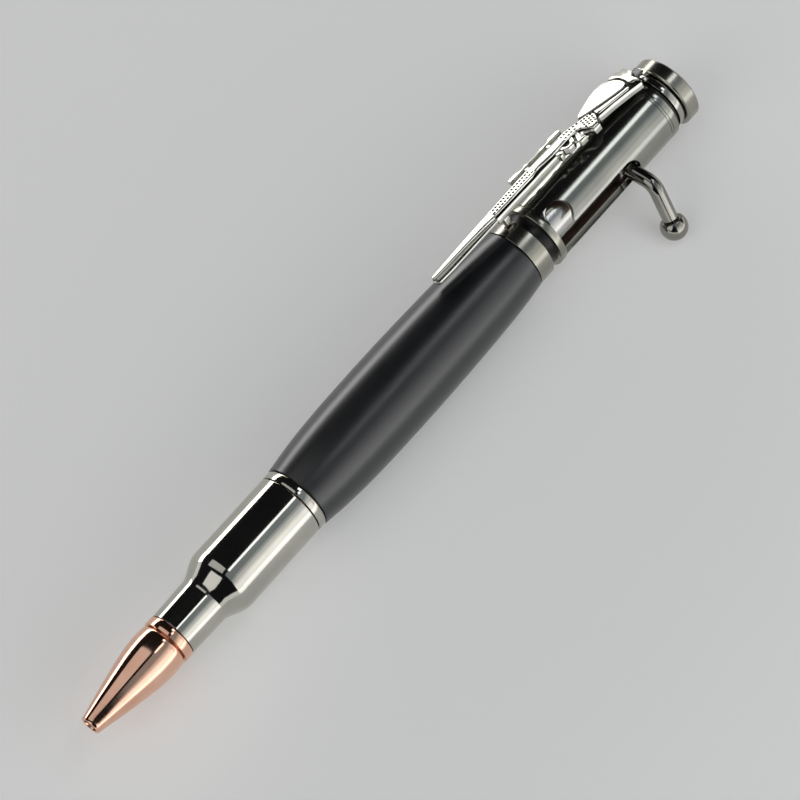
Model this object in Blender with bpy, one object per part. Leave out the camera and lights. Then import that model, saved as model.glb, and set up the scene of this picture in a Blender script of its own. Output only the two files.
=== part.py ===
"""Bolt-action ballpoint pen, as an assembly of its separate pieces.

Metres. The pen lies along X: the origin is the centre of the end cap's flat
face and +X points at the writing tip. +Z is up as the pen lies on a table,
resting on its barrel, its end cap and the knob of its bolt, which is on +Y.
Angles round the pen are counted from +Y towards +Z.
"""

import math

import bmesh
import bpy
from mathutils import Matrix, Vector

# Clearances
FIT_GAP = 0.00025        # radial, between nested pieces
SEAM = 0.0002            # along the pen, between pieces that butt
CUT_OVERRUN = 0.0001     # how far a cutter runs past a face

# Faces round a turned piece
OUTER_SIDES = 32
INNER_SIDES = 20
SMALL_SIDES = 12

# End cap and its stud
FINIAL_R = 0.00604
FINIAL_LENGTH = 0.0027
FINIAL_CHAMFER = 0.0003
STUD_R = 0.002
STUD_LENGTH = 0.0066

# Clip ring and tab
CLIP_RING_R = 0.00533
CLIP_RING_THICKNESS = 0.0012
CLIP_ANGLE = math.radians(122)
TAB_WIDTH = 0.002
TAB_REACH = 0.0066       # from the pen's axis

# Bush in the top of the housing
BUSH_FLANGE_STEP = 0.0007    # under the tube's outside
BUSH_FLANGE_THICKNESS = 0.0004
BUSH_LENGTH = 0.0078

# Housing tube, slot and hook
TUBE_R = 0.0058
TUBE_BORE_SHARE = 0.819  # bore's radius in the tube's
TUBE_LENGTH = 0.0285
TUBE_CHAMFER = 0.00015
TUBE_SPIGOT_STEP = 0.0006
TUBE_SPIGOT_LENGTH = 0.001
TURNED_LINE_SETBACK = 0.0012
TURNED_LINE_PITCH = 0.0005
TURNED_LINE_WIDTH = 0.0002
TURNED_LINE_DEPTH = 0.00012
SLOT_ANGLE = math.radians(16.4)
SLOT_WIDTH = 0.0045
SLOT_SETBACK = 0.0098    # from the tube's top end to the slot's round end
HOOK_ANGLE = math.radians(65)
HOOK_R = 0.00234
TONGUE_CLEARANCE = 0.0036
CUTTER_FLOOR_R = 0.0015

# Plunger
PLUNGER_HEAD_LENGTH = 0.0058
PLUNGER_CUP_WALL = 0.00045
PLUNGER_CHAMFER = 0.0003
PLUNGER_CUP_DEPTH = 0.0055
PLUNGER_PROUD = 0.0018   # how far the rod runs on past the tube
HANDLE_HOLE_FLOOR_R = 0.0012

# Handle and knob
HANDLE_ANGLE = math.radians(12)
HANDLE_R = 0.0013
HANDLE_SHANK_R = 0.0009
HANDLE_STOP_GAP = 0.0003
HANDLE_LEG = 0.0097      # from the pen's axis to the bend's corner
HANDLE_BEND_R = 0.0026
HANDLE_BEND_STEPS = 6
TENON_R = 0.0008         # the rod's end, inside the knob
TENON_LENGTH = 0.0012
KNOB_R = 0.0023
KNOB_FLAT = 0.0013       # from the knob's centre to its flat
KNOB_FORWARD = 0.0013    # knob's centre, from the handle's root
KNOB_OUT = 0.01485
KNOB_DOWN = 0.00414

# Centre coupling
RIM_PROUD = 0.00016      # over the tube
RIM_WIDTH = 0.0013
RIM_CHAMFER = 0.00015
GROOVE_STEP = 0.00065    # under the tube
GROOVE_WIDTH = 0.0018
BAND_PROUD = 0.00006
BAND_WIDTH = 0.0031
COUPLING_SPIGOT_LENGTH = 0.0062

# Barrel sleeve and liner
BARREL_END_R = 0.0059
BARREL_BELLY_R = 0.00705
BARREL_LENGTH = 0.052
LINER_R = 0.005
LINER_WALL = 0.0003
LINER_SETBACK = 0.0002

# Lower coupler and trim ring
COUPLER_WALL = 0.00115
COUPLER_LENGTH = 0.0132
COUPLER_IN_SHELL = 0.005
TRIM_RING_R = 0.00582
TRIM_RING_WIDTH = 0.0014
TRIM_RING_CHAMFER = 0.00012

# Shell: body, shoulder and neck
SHELL_R = 0.00584
SHELL_TAPER = 0.00006
SHELL_BODY_LENGTH = 0.0156
SHOULDER_LENGTH = 0.0044
NECK_R = 0.00427
NECK_TAPER = 0.00015
NECK_LENGTH = 0.0073
SHELL_BORE_R = 0.0037

# Nose cone and collar
COLLAR_R = 0.0042
COLLAR_WIDTH = 0.0015
COLLAR_CHAMFER = 0.00015
NOSE_R = 0.0042
TIP_R = 0.00166
NOSE_LENGTH = 0.017
STEM_R = 0.00345
STEM_LENGTH = 0.0055
NOSE_BORE_R = 0.00315
NOSE_BORE_DEPTH = 0.0066  # past the cone's base
SPRING_CAVITY_R = 0.0027
SPRING_SEAT_TO_TIP = 0.007
POINT_BORE_R = 0.00125

# Refill
REFILL_R = 0.00295
REFILL_BORE_R = 0.00255
REFILL_HEAD_GAP = 0.0004     # in the plunger's cup
POINT_SHOWS = 0.0036     # past the nose's end, with the bolt forward
REFILL_SHOULDER_TO_POINT = 0.0146
REFILL_SHOULDER_THICKNESS = 0.0013
REFILL_INSERT_LENGTH = 0.0035
REFILL_HEAD_LENGTH = 0.0014
REFILL_NECK_R = 0.0016
POINT_R = 0.00105
POINT_SEAT_DEPTH = 0.004
POINT_CONE_LENGTH = 0.0022
POINT_MOUTH_R = 0.00068
BALL_R = 0.0005
BALL_GAP = 0.00008
BALL_SHOWS = 0.0003

# Return spring
SPRING_WIRE_R = 0.0002
SPRING_R = 0.0022        # to the middle of the wire
SPRING_TURNS = 7
SPRING_POINTS_PER_TURN = 10
SPRING_CLOSED_TURNS = 1  # at each end
SPRING_CLOSED_GAP = 0.00044

# Rifle-shaped clip: a plate along the pen, bent to follow its height
CLIP_BUTT_X = 0.0047
CLIP_LENGTH = 0.0484
CLIP_STOCK_HEIGHT = 0.0067
CLIP_THICKNESS = 0.0016
CLIP_BARREL_THICKNESS = 0.0012
CLIP_FACE_R = 0.0095             # the face's greatest height over the axis
CLIP_FACE_DROP = 0.0012          # how much lower the butt and muzzle lie
CLIP_FOOT_THICKNESS = 0.0006
CLIP_NUB_SIZE = 0.0014
CLIP_NUB_OVERLAP = 0.0015        # how far the nub lies over the coupling's band
SCOPE_BELL_R = 0.0007
SCOPE_SINK = 0.0007              # how far the scope's axis lies under the face

# Outlines and paths as shares, chosen by hand
BARREL_SHARES = (
    (0.0, 0.0), (0.06, 0.30), (0.16, 0.60), (0.28, 0.80), (0.40, 0.93), (0.52, 1.0),
    (0.64, 0.985), (0.75, 0.91), (0.84, 0.74), (0.90, 0.54), (0.95, 0.30), (1.0, 0.0),
)
NOSE_SHARES = (
    (0.0, 0.86), (0.03, 0.96), (0.12, 1.0), (0.22, 0.98), (0.36, 0.87), (0.55, 0.63),
    (0.77, 0.33), (0.975, 0.03), (1.0, 0.0),
)
SHOULDER_SHARES = ((0.0, 1.0), (0.17, 0.94), (0.36, 0.78), (0.60, 0.48), (0.82, 0.18), (1.0, 0.0))
CLIP_FACE_SHARES = ((0.0, 1.0), (0.20, 0.31), (0.40, 0.0), (0.71, 0.38), (1.0, 1.0))

# The rifle's outlines: along its length from the butt, across in stock heights
STOCK_SHARES = (
    (0.71, 0.13), (0.647, 0.15), (0.51, 0.165), (0.49, 0.14), (0.34, 0.20), (0.285, 0.19),
    (0.254, 0.13), (0.213, 0.28), (0.163, 0.40), (0.122, 0.46), (0.097, 0.49), (0.071, 0.44),
    (0.037, 0.42), (0.015, 0.36), (0.0, 0.25), (0.0, -0.04), (0.018, -0.13), (0.02, -0.46),
    (0.028, -0.51), (0.067, -0.445), (0.147, -0.33), (0.206, -0.30), (0.216, -0.31),
    (0.23, -0.44), (0.237, -0.50), (0.266, -0.50), (0.272, -0.36), (0.285, -0.22),
    (0.305, -0.13), (0.34, -0.08), (0.498, -0.065), (0.529, -0.13), (0.71, -0.15),
)
BARREL_OUTLINE_SHARES = ((0.68, 0.125), (0.68, -0.16), (1.0, -0.155), (1.0, 0.105))
MAGAZINE_SHARES = ((0.358, -0.02), (0.358, -0.34), (0.402, -0.38), (0.407, -0.02))
TRIGGER_SHARES = (
    (0.305, -0.02), (0.323, -0.26), (0.305, -0.34), (0.311, -0.40), (0.34, -0.36), (0.346, -0.02),
)
MOUNT_SHARES = ((0.409, 0.427), (0.516, 0.532))
MOUNT_TOP_SHARE = 0.36
SCOPE_ACROSS_SHARE = 0.37
SCOPE_SHARES = (
    (0.323, 0.0), (0.323, 0.8), (0.331, 1.0), (0.374, 1.0), (0.39, 0.6), (0.492, 0.6),
    (0.51, 0.7), (0.53, 1.0), (0.565, 1.0), (0.569, 0.8), (0.569, 0.0),
)

# Colours: name, colour, roughness, metallic
CHROME = ("polished_gunmetal", (0.62, 0.62, 0.63), 0.08, 1.0)
BRUSHED = ("brushed_gunmetal", (0.58, 0.57, 0.55), 0.25, 1.0)
DARK = ("dark_gunmetal", (0.30, 0.29, 0.30), 0.12, 1.0)
COPPER = ("copper", (0.85, 0.50, 0.36), 0.12, 1.0)
BLACK = ("satin_black", (0.012, 0.012, 0.014), 0.38, 0.0)
BRASS = ("brass", (0.72, 0.55, 0.28), 0.3, 1.0)
STEEL = ("steel", (0.6, 0.6, 0.6), 0.25, 1.0)
WHITE = ("refill_plastic", (0.75, 0.75, 0.72), 0.4, 0.0)

# Radii that follow from a neighbour's
TUBE_BORE_R = TUBE_R * TUBE_BORE_SHARE
TUBE_SPIGOT_R = TUBE_R - TUBE_SPIGOT_STEP
BUSH_FLANGE_R = TUBE_R - BUSH_FLANGE_STEP
RIM_R = TUBE_R + RIM_PROUD
GROOVE_R = TUBE_R - GROOVE_STEP
BAND_R = TUBE_R + BAND_PROUD
PLUNGER_HEAD_R = TUBE_BORE_R - FIT_GAP
PLUNGER_CUP_R = REFILL_R + FIT_GAP
PLUNGER_ROD_R = PLUNGER_CUP_R + PLUNGER_CUP_WALL
LINER_BORE_R = LINER_R - LINER_WALL
SPIGOT_R = LINER_BORE_R - FIT_GAP

# Places along the pen, each from its neighbour
RING_START = FINIAL_LENGTH + SEAM
RING_END = RING_START + CLIP_RING_THICKNESS
BUSH_START = RING_END + SEAM
TUBE_START = BUSH_START + BUSH_FLANGE_THICKNESS + SEAM
TUBE_END = TUBE_START + TUBE_LENGTH
COUPLING_START = TUBE_END + SEAM
GROOVE_START = COUPLING_START + RIM_WIDTH
BAND_START = GROOVE_START + GROOVE_WIDTH
BAND_END = BAND_START + BAND_WIDTH
BARREL_START = BAND_END + SEAM
BARREL_END = BARREL_START + BARREL_LENGTH
TRIM_START = BARREL_END + SEAM
TRIM_END = TRIM_START + TRIM_RING_WIDTH
SHELL_START = TRIM_END + SEAM
SHOULDER_START = SHELL_START + SHELL_BODY_LENGTH
NECK_START = SHOULDER_START + SHOULDER_LENGTH
SHELL_END = NECK_START + NECK_LENGTH
COLLAR_START = SHELL_END + SEAM
COLLAR_END = COLLAR_START + COLLAR_WIDTH
NOSE_START = COLLAR_END + SEAM
PEN_LENGTH = NOSE_START + NOSE_LENGTH

# Bolt travel and the refill that it pushes
SLOT_START = TUBE_START + SLOT_SETBACK
HANDLE_X = SLOT_START + HANDLE_R + HANDLE_STOP_GAP
BOLT_TRAVEL = TUBE_END - HANDLE_R - HANDLE_STOP_GAP - HANDLE_X
BUSH_END = BUSH_START + BUSH_LENGTH
HEAD_START = BUSH_END + HANDLE_STOP_GAP
HEAD_END = HEAD_START + PLUNGER_HEAD_LENGTH
ROD_END = TUBE_END + PLUNGER_PROUD
CUP_FLOOR = ROD_END - PLUNGER_CUP_DEPTH
POINT_X = PEN_LENGTH + POINT_SHOWS - BOLT_TRAVEL
REFILL_START = CUP_FLOOR + REFILL_HEAD_GAP
REFILL_SHOULDER_X = POINT_X - REFILL_SHOULDER_TO_POINT
SPRING_SEAT_X = PEN_LENGTH - SPRING_SEAT_TO_TIP
# The refill's neck stops short of the spring's seat with the bolt forward
REFILL_NECK_LENGTH = (REFILL_SHOULDER_TO_POINT - POINT_SHOWS - SPRING_SEAT_TO_TIP
                      - HANDLE_STOP_GAP)


def direction(angle):
    """Unit vector square to the pen at an angle from +Y towards +Z."""
    return Vector((0, math.cos(angle), math.sin(angle)))


def own_material(obj, look):
    """Give the object a material of its own, named after it."""
    name, colour, roughness, metallic = look
    made = bpy.data.materials.new(f"{obj.name}_{name}")
    made.use_nodes = True
    shader = made.node_tree.nodes["Principled BSDF"]
    shader.inputs["Base Color"].default_value = (*colour, 1)
    shader.inputs["Roughness"].default_value = roughness
    shader.inputs["Metallic"].default_value = metallic
    obj.data.materials.append(made)


def add_object(name, bm, look=None):
    """Turn a bmesh into an object with its faces pointing out."""
    bmesh.ops.recalc_face_normals(bm, faces=bm.faces)
    mesh = bpy.data.meshes.new(name)
    bm.to_mesh(mesh)
    bm.free()
    obj = bpy.data.objects.new(name, mesh)
    bpy.context.scene.collection.objects.link(obj)
    mesh.shade_smooth()
    mesh.set_sharp_from_angle(angle=math.radians(30))
    if look:
        own_material(obj, look)
    return obj


def lathe(profile, sides):
    """Turn a closed outline of (x, radius) points about the X axis."""
    bm = bmesh.new()
    step = 2 * math.pi / sides
    rings = []
    for x, r in profile:
        if r > 0:
            turn = [direction((i + 0.5) * step) * r for i in range(sides)]
            rings.append([bm.verts.new((x, p.y, p.z)) for p in turn])
        else:
            rings.append([bm.verts.new((x, 0, 0))])
    for here, there in zip(rings, rings[1:] + rings[:1]):
        for i in range(sides):
            j = (i + 1) % sides
            corners = [here[i % len(here)], here[j % len(here)],
                       there[j % len(there)], there[i % len(there)]]
            face = list(dict.fromkeys(corners))
            if len(face) > 2:
                bm.faces.new(face)
    return bm


def turned(name, profile, look, sides=OUTER_SIDES):
    return add_object(name, lathe(profile, sides), look)


def prism(outline, low, high):
    """Extrude a flat outline of (x, y) points from z = low to z = high."""
    bm = bmesh.new()
    floor = [bm.verts.new((x, y, low)) for x, y in outline]
    roof = [bm.verts.new((x, y, high)) for x, y in outline]
    bm.faces.new(floor)
    bm.faces.new(roof)
    for i in range(len(outline)):
        j = (i + 1) % len(outline)
        bm.faces.new((floor[i], floor[j], roof[j], roof[i]))
    return bm


def rod_along(path, radii, sides):
    """Sweep a round section along a path of points, with a radius at each."""
    bm = bmesh.new()
    side = (path[1] - path[0]).orthogonal().normalized()
    rings = []
    for i, (point, radius) in enumerate(zip(path, radii)):
        ahead = path[min(i + 1, len(path) - 1)] - path[max(i - 1, 0)]
        ahead.normalize()
        side = (side - ahead * side.dot(ahead)).normalized()
        other = ahead.cross(side)
        angles = [2 * math.pi * k / sides for k in range(sides)]
        rings.append([
            bm.verts.new(point + (side * math.cos(a) + other * math.sin(a)) * radius)
            for a in angles
        ])
    for here, there in zip(rings, rings[1:]):
        for k in range(sides):
            m = (k + 1) % sides
            bm.faces.new((here[k], here[m], there[m], there[k]))
    bm.faces.new(rings[0])
    bm.faces.new(rings[-1])
    return bm


def as_tool(obj):
    """Mark an object as a cutter or a joined body that isn't a piece itself."""
    obj.hide_render = True
    obj.display_type = "WIRE"
    return obj


def boolean(obj, other, operation):
    step = obj.modifiers.new(f"{operation.lower()}_{other.name}", "BOOLEAN")
    step.operation = operation
    step.solver = "EXACT"
    step.object = as_tool(other)


def radial_frame(angle):
    """Matrix that stands a shape's Z axis along a direction square to the pen."""
    up = direction(angle)
    along = Vector((1, 0, 0))
    across = up.cross(along)
    return Matrix((along, across, up)).transposed().to_4x4()


def make_finial():
    base = FINIAL_LENGTH
    profile = [
        (0, 0),
        (0, FINIAL_R - FINIAL_CHAMFER),
        (FINIAL_CHAMFER, FINIAL_R),
        (base - FINIAL_CHAMFER, FINIAL_R),
        (base, FINIAL_R - FINIAL_CHAMFER),
        (base, STUD_R),
        (base + STUD_LENGTH, STUD_R),
        (base + STUD_LENGTH, 0),
    ]
    return turned("finial", profile, BRUSHED)


def make_clip_ring():
    hole = STUD_R + FIT_GAP
    profile = [
        (RING_START, hole), (RING_START, CLIP_RING_R),
        (RING_END, CLIP_RING_R), (RING_END, hole),
    ]
    ring = turned("clip_ring", profile, CHROME)
    half = TAB_WIDTH / 2
    root = (hole + CLIP_RING_R) / 2
    outline = [
        (RING_START, -half), (RING_END, -half), (RING_END, half), (RING_START, half),
    ]
    tab = add_object("clip_tab", prism(outline, root, TAB_REACH))
    tab.data.transform(radial_frame(CLIP_ANGLE))
    boolean(ring, tab, "UNION")
    return ring


def make_top_bush():
    hole = STUD_R + FIT_GAP
    body_r = TUBE_BORE_R - FIT_GAP
    flange_end = BUSH_START + BUSH_FLANGE_THICKNESS
    profile = [
        (BUSH_START, hole), (BUSH_START, BUSH_FLANGE_R), (flange_end, BUSH_FLANGE_R),
        (flange_end, body_r), (BUSH_END, body_r), (BUSH_END, hole),
    ]
    return turned("top_bush", profile, BRASS)


def turned_lines():
    """The two fine grooves that run round the tube near its top end."""
    points = []
    for i in range(2):
        start = TUBE_START + TURNED_LINE_SETBACK + i * TURNED_LINE_PITCH
        points += [
            (start, TUBE_R),
            (start + TURNED_LINE_WIDTH / 2, TUBE_R - TURNED_LINE_DEPTH),
            (start + TURNED_LINE_WIDTH, TUBE_R),
        ]
    return points


def stadium(start, end, width, steps):
    """Outline with a half-round start and a square end, centred on y = 0."""
    r = width / 2
    arc = [math.pi / 2 + math.pi * k / steps for k in range(steps + 1)]
    points = [(start + r + r * math.cos(a), r * math.sin(a)) for a in arc]
    return points + [(end, -r), (end, r)]


def make_bolt_housing():
    profile = [
        (TUBE_START, TUBE_BORE_R),
        (TUBE_START, TUBE_R - TUBE_CHAMFER),
        (TUBE_START + TUBE_CHAMFER, TUBE_R),
        *turned_lines(),
        (TUBE_END, TUBE_R),
        (TUBE_END, TUBE_SPIGOT_R),
        (TUBE_END + TUBE_SPIGOT_LENGTH, TUBE_SPIGOT_R),
        (TUBE_END + TUBE_SPIGOT_LENGTH, TUBE_BORE_R),
    ]
    tube = turned("bolt_housing", profile, CHROME)
    slot_end = TUBE_END + CUT_OVERRUN
    reach = TUBE_R * 2
    slot = prism(stadium(SLOT_START, slot_end, SLOT_WIDTH, 10), CUTTER_FLOOR_R, reach)
    hook_start = TUBE_END - 2 * HOOK_R
    circle = [2 * math.pi * (k + 0.5) / 20 for k in range(20)]
    hook_outline = [
        (hook_start + HOOK_R * (1 + math.cos(a)), HOOK_R * math.sin(a)) for a in circle
    ]
    hook = prism(hook_outline, CUTTER_FLOOR_R, reach)
    for name, bm, angle in (("slot_cutter", slot, SLOT_ANGLE), ("hook_cutter", hook, HOOK_ANGLE)):
        cutter = add_object(name, bm)
        cutter.data.transform(radial_frame(angle))
        boolean(tube, cutter, "DIFFERENCE")
    # The way from the slot round into the hook, under the tongue
    sweep = [direction(SLOT_ANGLE + (HOOK_ANGLE - SLOT_ANGLE) * k / 4) for k in range(5)]
    wedge = [(p.y * CUTTER_FLOOR_R, p.z * CUTTER_FLOOR_R) for p in sweep]
    wedge += [(p.y * reach, p.z * reach) for p in reversed(sweep)]
    passage = prism(wedge, TUBE_END - TONGUE_CLEARANCE, slot_end)
    cutter = add_object("passage_cutter", passage)
    # The prism stands on its Y and Z outline, so its own Z becomes X
    cutter.data.transform(Matrix(((0, 0, 1), (1, 0, 0), (0, 1, 0))).to_4x4())
    boolean(tube, cutter, "DIFFERENCE")
    return tube


def make_bolt_plunger():
    profile = [
        (HEAD_START, 0),
        (HEAD_START, PLUNGER_HEAD_R - PLUNGER_CHAMFER),
        (HEAD_START + PLUNGER_CHAMFER, PLUNGER_HEAD_R),
        (HEAD_END, PLUNGER_HEAD_R),
        (HEAD_END, PLUNGER_ROD_R),
        (ROD_END - PLUNGER_CHAMFER, PLUNGER_ROD_R),
        (ROD_END, PLUNGER_ROD_R - PLUNGER_CHAMFER / 2),
        (ROD_END, PLUNGER_CUP_R),
        (CUP_FLOOR, PLUNGER_CUP_R),
        (CUP_FLOOR, 0),
    ]
    plunger = turned("bolt_plunger", profile, CHROME, INNER_SIDES)
    hole_r = HANDLE_SHANK_R + FIT_GAP
    angles = [2 * math.pi * k / SMALL_SIDES for k in range(SMALL_SIDES)]
    outline = [(HANDLE_X + hole_r * math.cos(a), hole_r * math.sin(a)) for a in angles]
    hole = add_object("handle_hole", prism(outline, HANDLE_HOLE_FLOOR_R, TUBE_R))
    hole.data.transform(radial_frame(HANDLE_ANGLE))
    boolean(plunger, hole, "DIFFERENCE")
    return plunger


def handle_line():
    """The handle's root, its two directions, its corner and the knob's centre."""
    root = Vector((HANDLE_X, 0, 0))
    out = direction(HANDLE_ANGLE)
    corner = root + out * HANDLE_LEG
    knob = root + Vector((KNOB_FORWARD, KNOB_OUT, -KNOB_DOWN))
    return root, out, corner, (knob - corner).normalized(), knob


def make_bolt_handle():
    """Shank in the plunger, straight leg, bend, second leg and the knob's tenon."""
    root, out, corner, down, knob = handle_line()
    turn = out.angle(down)
    inward = (down - out * down.dot(out)).normalized()
    centre = corner - out * HANDLE_BEND_R * math.tan(turn / 2) + inward * HANDLE_BEND_R
    bend = []
    for k in range(HANDLE_BEND_STEPS + 1):
        a = turn * k / HANDLE_BEND_STEPS
        bend.append(centre + (out * math.sin(a) - inward * math.cos(a)) * HANDLE_BEND_R)
    shank_foot = root + out * (HANDLE_HOLE_FLOOR_R + FIT_GAP)
    shoulder = root + out * (PLUNGER_HEAD_R + FIT_GAP)
    face = knob - down * (KNOB_FLAT + SEAM)
    path = [shank_foot, shoulder, shoulder + out * FIT_GAP, *bend]
    path += [face - down * FIT_GAP, face, face + down * TENON_LENGTH]
    radii = [HANDLE_SHANK_R, HANDLE_SHANK_R, HANDLE_R]
    radii += [HANDLE_R] * (len(bend) + 1)
    radii += [TENON_R, TENON_R]
    return add_object("bolt_handle", rod_along(path, radii, SMALL_SIDES), DARK)


def make_handle_knob():
    """Turned along its own X axis, then set on the handle's end."""
    root, out, corner, down, knob = handle_line()
    socket_r = TENON_R + FIT_GAP
    socket_floor = TENON_LENGTH - KNOB_FLAT
    first = math.acos(-KNOB_FLAT / KNOB_R)
    ball = [first * (1 - k / 8) for k in range(8)]
    profile = [(socket_floor, 0), (socket_floor, socket_r), (-KNOB_FLAT, socket_r)]
    profile += [(KNOB_R * math.cos(a), KNOB_R * math.sin(a)) for a in ball]
    profile += [(KNOB_R, 0)]
    obj = turned("handle_knob", profile, DARK, 16)
    turn = Vector((1, 0, 0)).rotation_difference(down).to_matrix().to_4x4()
    obj.matrix_world = Matrix.Translation(knob) @ turn
    return obj


def make_centre_coupling():
    cup_r = TUBE_SPIGOT_R + FIT_GAP
    cup_floor = COUPLING_START + TUBE_SPIGOT_LENGTH
    bore = PLUNGER_ROD_R + FIT_GAP
    spigot_end = BAND_END + COUPLING_SPIGOT_LENGTH
    profile = [
        (COUPLING_START, cup_r),
        (COUPLING_START, RIM_R - RIM_CHAMFER),
        (COUPLING_START + RIM_CHAMFER, RIM_R),
        (GROOVE_START - RIM_CHAMFER, RIM_R),
        (GROOVE_START, RIM_R - RIM_CHAMFER),
        (GROOVE_START, GROOVE_R),
        (BAND_START, GROOVE_R),
        (BAND_START, BAND_R - RIM_CHAMFER),
        (BAND_START + RIM_CHAMFER, BAND_R),
        (BAND_END, BAND_R),
        (BAND_END, SPIGOT_R),
        (spigot_end, SPIGOT_R),
        (spigot_end, bore),
        (cup_floor, bore),
        (cup_floor, cup_r),
    ]
    return turned("centre_coupling", profile, CHROME)


def make_barrel_sleeve():
    swell = BARREL_BELLY_R - BARREL_END_R
    outside = [
        (BARREL_START + BARREL_LENGTH * along, BARREL_END_R + swell * out)
        for along, out in BARREL_SHARES
    ]
    bore = LINER_R + FIT_GAP
    profile = [(BARREL_START, bore)] + outside + [(BARREL_END, bore)]
    return turned("barrel_sleeve", profile, BLACK)


def make_barrel_liner():
    start = BARREL_START + LINER_SETBACK
    end = BARREL_END - LINER_SETBACK
    profile = [(start, LINER_BORE_R), (start, LINER_R), (end, LINER_R), (end, LINER_BORE_R)]
    return turned("barrel_liner", profile, BRASS)


def make_lower_coupler():
    end = SHELL_START + COUPLER_IN_SHELL
    start = end - COUPLER_LENGTH
    bore = SPIGOT_R - COUPLER_WALL
    profile = [(start, bore), (start, SPIGOT_R), (end, SPIGOT_R), (end, bore)]
    return turned("lower_coupler", profile, BRASS, INNER_SIDES)


def make_lower_trim_ring():
    bore = SPIGOT_R + FIT_GAP
    edge = TRIM_RING_R - TRIM_RING_CHAMFER
    profile = [
        (TRIM_START, bore), (TRIM_START, edge),
        (TRIM_START + TRIM_RING_CHAMFER, TRIM_RING_R),
        (TRIM_END - TRIM_RING_CHAMFER, TRIM_RING_R),
        (TRIM_END, edge), (TRIM_END, bore),
    ]
    return turned("lower_trim_ring", profile, CHROME)


def make_cartridge_shell():
    socket_r = SPIGOT_R + FIT_GAP
    socket_floor = SHELL_START + COUPLER_IN_SHELL + SEAM
    drop = SHELL_R - NECK_R
    shoulder = [
        (SHOULDER_START + SHOULDER_LENGTH * along, NECK_R + drop * out)
        for along, out in SHOULDER_SHARES
    ]
    profile = [
        (SHELL_START, socket_r),
        (SHELL_START, SHELL_R - 2 * SHELL_TAPER),
        (SHELL_START + TRIM_RING_CHAMFER, SHELL_R - SHELL_TAPER),
        *shoulder,
        (SHELL_END, NECK_R - NECK_TAPER),
        (SHELL_END, SHELL_BORE_R),
        (socket_floor, SHELL_BORE_R),
        (socket_floor, socket_r),
    ]
    return turned("cartridge_shell", profile, CHROME)


def make_nose_collar():
    bore = STEM_R + FIT_GAP
    edge = COLLAR_R - COLLAR_CHAMFER
    profile = [
        (COLLAR_START, bore), (COLLAR_START, edge),
        (COLLAR_START + COLLAR_CHAMFER, COLLAR_R),
        (COLLAR_END - COLLAR_CHAMFER, COLLAR_R),
        (COLLAR_END, edge), (COLLAR_END, bore),
    ]
    return turned("nose_collar", profile, COPPER)


def make_nose_cone():
    swell = NOSE_R - TIP_R
    outside = [
        (NOSE_START + NOSE_LENGTH * along, TIP_R + swell * out) for along, out in NOSE_SHARES
    ]
    stem_start = NOSE_START - STEM_LENGTH
    bore_end = NOSE_START + NOSE_BORE_DEPTH
    step = NOSE_BORE_R - SPRING_CAVITY_R
    profile = [
        (stem_start, NOSE_BORE_R), (stem_start, STEM_R), (NOSE_START, STEM_R),
        *outside,
        (PEN_LENGTH, POINT_BORE_R),
        (SPRING_SEAT_X, POINT_BORE_R),
        (SPRING_SEAT_X, SPRING_CAVITY_R),
        (bore_end + step, SPRING_CAVITY_R),
        (bore_end, NOSE_BORE_R),
    ]
    return turned("nose_cone", profile, COPPER)


def make_return_spring():
    """A coil with a closed turn at each end, as one unbroken wire."""
    start = REFILL_SHOULDER_X + SEAM + SPRING_WIRE_R
    end = SPRING_SEAT_X - SEAM - SPRING_WIRE_R
    closed = SPRING_CLOSED_TURNS
    closed_pitch = 2 * SPRING_WIRE_R + SPRING_CLOSED_GAP
    open_pitch = (end - start - 2 * closed * closed_pitch) / (SPRING_TURNS - 2 * closed)
    points = []
    for k in range(SPRING_TURNS * SPRING_POINTS_PER_TURN + 1):
        turn = k / SPRING_POINTS_PER_TURN
        head = min(turn, closed)
        tail = max(turn - (SPRING_TURNS - closed), 0)
        middle = turn - head - tail
        x = start + (head + tail) * closed_pitch + middle * open_pitch
        side = direction(turn * 2 * math.pi) * SPRING_R
        points.append(Vector((x, side.y, side.z)))
    apart = min(
        (a - b).length
        for i, a in enumerate(points)
        for b in points[i + SPRING_POINTS_PER_TURN // 2:]
    )
    print(f"return_spring: least gap between its turns {(apart - 2 * SPRING_WIRE_R) * 1000:.2f} mm")
    curve = bpy.data.curves.new("return_spring", "CURVE")
    curve.dimensions = "3D"
    curve.bevel_depth = SPRING_WIRE_R
    curve.bevel_resolution = 1
    curve.use_fill_caps = True
    wire = curve.splines.new("POLY")
    wire.points.add(len(points) - 1)
    for knot, point in zip(wire.points, points):
        knot.co = (*point, 1)
    obj = bpy.data.objects.new("return_spring", curve)
    bpy.context.scene.collection.objects.link(obj)
    own_material(obj, STEEL)
    return obj


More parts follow.
